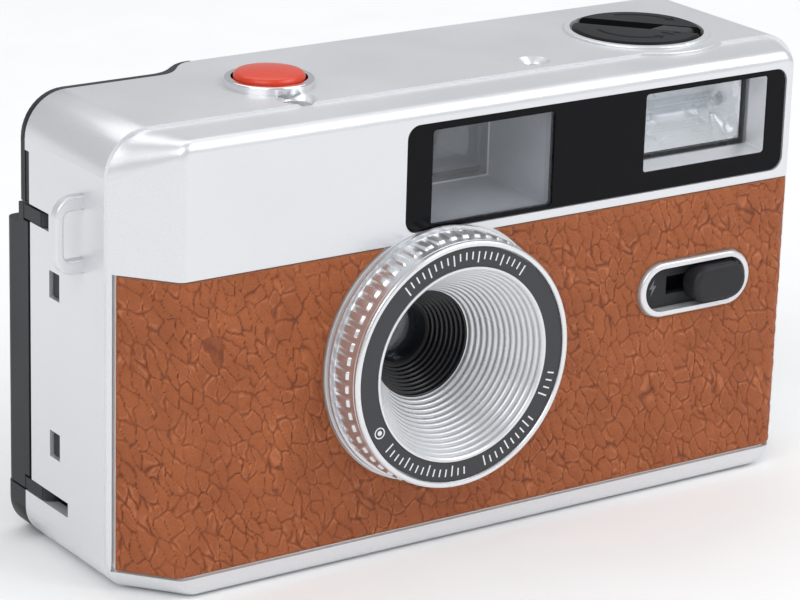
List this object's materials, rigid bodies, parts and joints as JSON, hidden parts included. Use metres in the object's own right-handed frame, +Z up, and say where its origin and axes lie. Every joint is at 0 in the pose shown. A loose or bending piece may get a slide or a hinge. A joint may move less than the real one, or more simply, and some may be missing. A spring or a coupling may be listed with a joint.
{
  "type": "half frame camera",
  "caption": "Compact half frame film camera with built-in flash, tan leatherette front, silver shell, hinged film door, thumb wind wheel and folding rewind crank.",
  "frame": {"origin": "on the flat base, half way along the body and 16 mm behind the flat front face", "axes": "+X along the body towards the flash, -Y the way the lens looks, +Z up"},
  "size_m": [0.1176, 0.0401, 0.0639],
  "materials": {
    "silver_paint": "satin silver-white paint over moulded plastic",
    "silver_satin": "satin silver-white paint over moulded plastic",
    "leatherette": "tan brown leatherette with a pebbled grain",
    "gloss_black": "glossy black moulded plastic",
    "clear_plastic": "clear polished plastic",
    "optical_glass": "polished lens",
    "grey_plastic": "satin grey moulded plastic",
    "chrome_film": "bright metallised reflector",
    "flash_glass": "clear glass tube",
    "capacitor_can": "sleeved aluminium can",
    "board_green": "solder-masked board",
    "black_plastic": "fine textured black plastic",
    "white_plastic": "natural moulded plastic",
    "dark_steel": "blackened sheet steel",
    "steel": "plain steel",
    "red_plastic": "satin orange-red plastic"
  },
  "bodies": {
    "case": {"body_shell": "silver_paint", "lens_ring": "silver_paint", "button_collar": "silver_paint", "switch_bezel": "silver_paint", "strap_lug": "silver_paint", "cone_baffle": "silver_paint", "flash_frame": "silver_paint", "leather_panel": "leatherette", "window_panel": "gloss_black", "name_ring": "gloss_black", "finder_window": "clear_plastic", "flash_lens": "clear_plastic", "counter_window": "clear_plastic", "ready_lamp": "clear_plastic", "finder_front_lens": "optical_glass", "eyepiece_lens": "optical_glass", "front_lens": "optical_glass", "rear_lens": "optical_glass", "finder_housing": "grey_plastic", "finder_tube": "grey_plastic", "flash_reflector": "chrome_film", "flash_tube": "flash_glass", "flash_capacitor": "capacitor_can", "circuit_board": "board_green", "inner_cone": "black_plastic", "lens_holder": "black_plastic", "chassis": "black_plastic", "rear_cover": "black_plastic", "switch_tray": "black_plastic", "top_bracket": "black_plastic", "shutter_plate": "black_plastic", "aperture_plate": "dark_steel", "hinge_pins": "steel", "battery_pin": "steel", "battery_contacts": "steel", "case_screws": "steel", "button_spring": "steel"},
    "door": {"film_door": "black_plastic", "plate_spring": "steel"},
    "pressure": {"pressure_plate": "dark_steel"},
    "latch": {"door_latch": "black_plastic"},
    "winder": {"thumb_wheel": "black_plastic", "wind_gear": "white_plastic", "take_up_spool": "black_plastic"},
    "sprocket": {"sprocket": "black_plastic", "sprocket_gear": "white_plastic"},
    "counter": {"counter_dial": "white_plastic"},
    "button": {"shutter_button": "red_plastic"},
    "blade": {"shutter_blade": "dark_steel"},
    "flash_switch": {"switch_knob": "black_plastic"},
    "rewind": {"rewind_knob": "black_plastic", "rewind_fork": "black_plastic", "crank_pin": "steel"},
    "crank": {"rewind_crank": "black_plastic"},
    "battery_lid": {"battery_door": "silver_satin"},
    "release": {"rewind_release": "black_plastic"}
  },
  "joints": [
    {"name": "door_hinge", "type": "hinge", "parent": "case", "child": "door", "pos_m": [-0.0544, 0.0084, 0.027], "axis": [0, 0, 1], "range_deg": [0, 95]},
    {"name": "pressure_slide", "type": "slide", "parent": "door", "child": "pressure", "axis": [0, 1, 0], "range_m": [0, 0.0006], "stiffness_N_per_m": 400, "springref_m": -0.0005},
    {"name": "latch_slide", "type": "slide", "parent": "case", "child": "latch", "axis": [0, 0, 1], "range_m": [0, 0.0035], "stiffness_N_per_m": 100, "springref_m": -0.002},
    {"name": "wind_turn", "type": "hinge", "parent": "case", "child": "winder", "pos_m": [-0.0402, 0.0025, 0.051], "axis": [0, 0, 1], "continuous": true},
    {"name": "sprocket_turn", "type": "hinge", "parent": "case", "child": "sprocket", "pos_m": [-0.02382, 0.0045, 0.041], "axis": [0, 0, 1], "continuous": true},
    {"name": "counter_turn", "type": "hinge", "parent": "case", "child": "counter", "pos_m": [-0.0314, -0.0058, 0.058], "axis": [0, 0, 1], "continuous": true},
    {"name": "button_press", "type": "slide", "parent": "case", "child": "button", "axis": [0, 0, -1], "range_m": [0, 0.0012], "stiffness_N_per_m": 400, "springref_m": -0.001, "deforming": ["button_spring"]},
    {"name": "shutter_swing", "type": "hinge", "parent": "case", "child": "blade", "pos_m": [-0.0023, -0.0014, 0.0332], "axis": [0, -1, 0], "range_deg": [0, 46], "stiffness_Nm_per_rad": 0.002, "springref_deg": -17.19},
    {"name": "flash_slide", "type": "slide", "parent": "case", "child": "flash_switch", "axis": [-1, 0, 0], "range_m": [0, 0.006]},
    {"name": "rewind_turn", "type": "hinge", "parent": "case", "child": "rewind", "pos_m": [0.0354, 0.002, 0.061], "axis": [0, 0, 1], "continuous": true},
    {"name": "crank_fold", "type": "hinge", "parent": "rewind", "child": "crank", "pos_m": [0.04096, -0.00268, 0.0616], "axis": [0.7431, 0.6691, 0], "range_deg": [0, 135]},
    {"name": "battery_hinge", "type": "hinge", "parent": "case", "child": "battery_lid", "pos_m": [-0.0045, -0.00355, 0.00095], "axis": [1, 0, 0], "range_deg": [0, 95]},
    {"name": "release_press", "type": "slide", "parent": "case", "child": "release", "axis": [0, 0, 1], "range_m": [0, 0.0012], "stiffness_N_per_m": 300, "springref_m": -0.001}
  ],
  "couplings": [
    {"joint": "sprocket_turn", "follows": "wind_turn", "ratio": -1.2},
    {"joint": "counter_turn", "follows": "wind_turn", "ratio": 0.031579}
  ]
}
